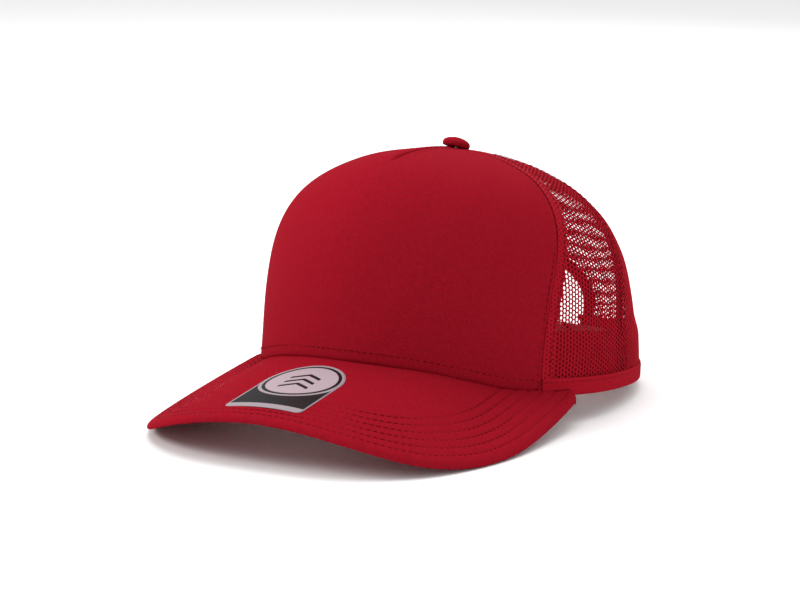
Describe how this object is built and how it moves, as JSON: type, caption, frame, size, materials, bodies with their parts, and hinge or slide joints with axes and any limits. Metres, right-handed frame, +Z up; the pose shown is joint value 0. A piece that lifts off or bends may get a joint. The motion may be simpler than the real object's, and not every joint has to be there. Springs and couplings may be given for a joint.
{
  "type": "trucker mesh cap",
  "caption": "Five-panel trucker cap: tall twill front, see-through netting sides and back, curved stitched brim and a plastic snap closure across the rear opening.",
  "frame": {"origin": "centre of the head opening, on the plane of the crown's rim", "axes": "+Z up, +X towards the wearer's left, -Y towards the brim; the cap leans back 5.93 degrees about X, as it stands on a table on the two sides of its brim and the back of its hem"},
  "size_m": [0.1806, 0.2708, 0.1223],
  "materials": {
    "twill": "fine cotton twill, matt",
    "backing": "bonded backing cloth",
    "netting": "knitted polyester netting, slight sheen",
    "tape": "woven seam tape",
    "binding": "folded twill binding",
    "headband": "folded cotton headband",
    "label": "blank woven label",
    "board": "moulded sheet",
    "sticker": null,
    "metal": "pressed",
    "strap_plastic": "moulded soft plastic, satin"
  },
  "bodies": {
    "cap": {"front_panel": "twill", "front_backing": "backing", "mesh_side_left": "netting", "mesh_side_right": "netting", "mesh_back_left": "netting", "mesh_back_right": "netting", "seam_tape_front_left": "tape", "seam_tape_front_right": "tape", "seam_tape_side_left": "tape", "seam_tape_side_right": "tape", "seam_tape_center_back": "tape", "hem_binding_left": "binding", "hem_binding_right": "binding", "opening_binding": "binding", "sweatband": "headband", "size_label": "label", "visor_board": "board", "visor_top_cover": "twill", "visor_bottom_cover": "twill", "visor_sticker": "sticker", "button_cover": "twill", "button_core": "metal", "button_rivet": "metal", "strap_tab_left": "strap_plastic", "strap_tab_right": "strap_plastic"},
    "holes_strap": {"strap_holes": "strap_plastic"},
    "pegs_strap": {"strap_pegs": "strap_plastic"}
  },
  "joints": [
    {"name": "holes_strap_flex", "type": "hinge", "parent": "cap", "child": "holes_strap", "pos_m": [0.027, 0.09802, -0.00817], "axis": [0, 0.1462, -0.9893], "range_deg": [0, 70], "stiffness_Nm_per_rad": 0.004},
    {"name": "pegs_strap_flex", "type": "hinge", "parent": "cap", "child": "pegs_strap", "pos_m": [-0.027, 0.09802, -0.00817], "axis": [0, 0.1462, -0.9893], "range_deg": [0, 60], "stiffness_Nm_per_rad": 0.004}
  ]
}
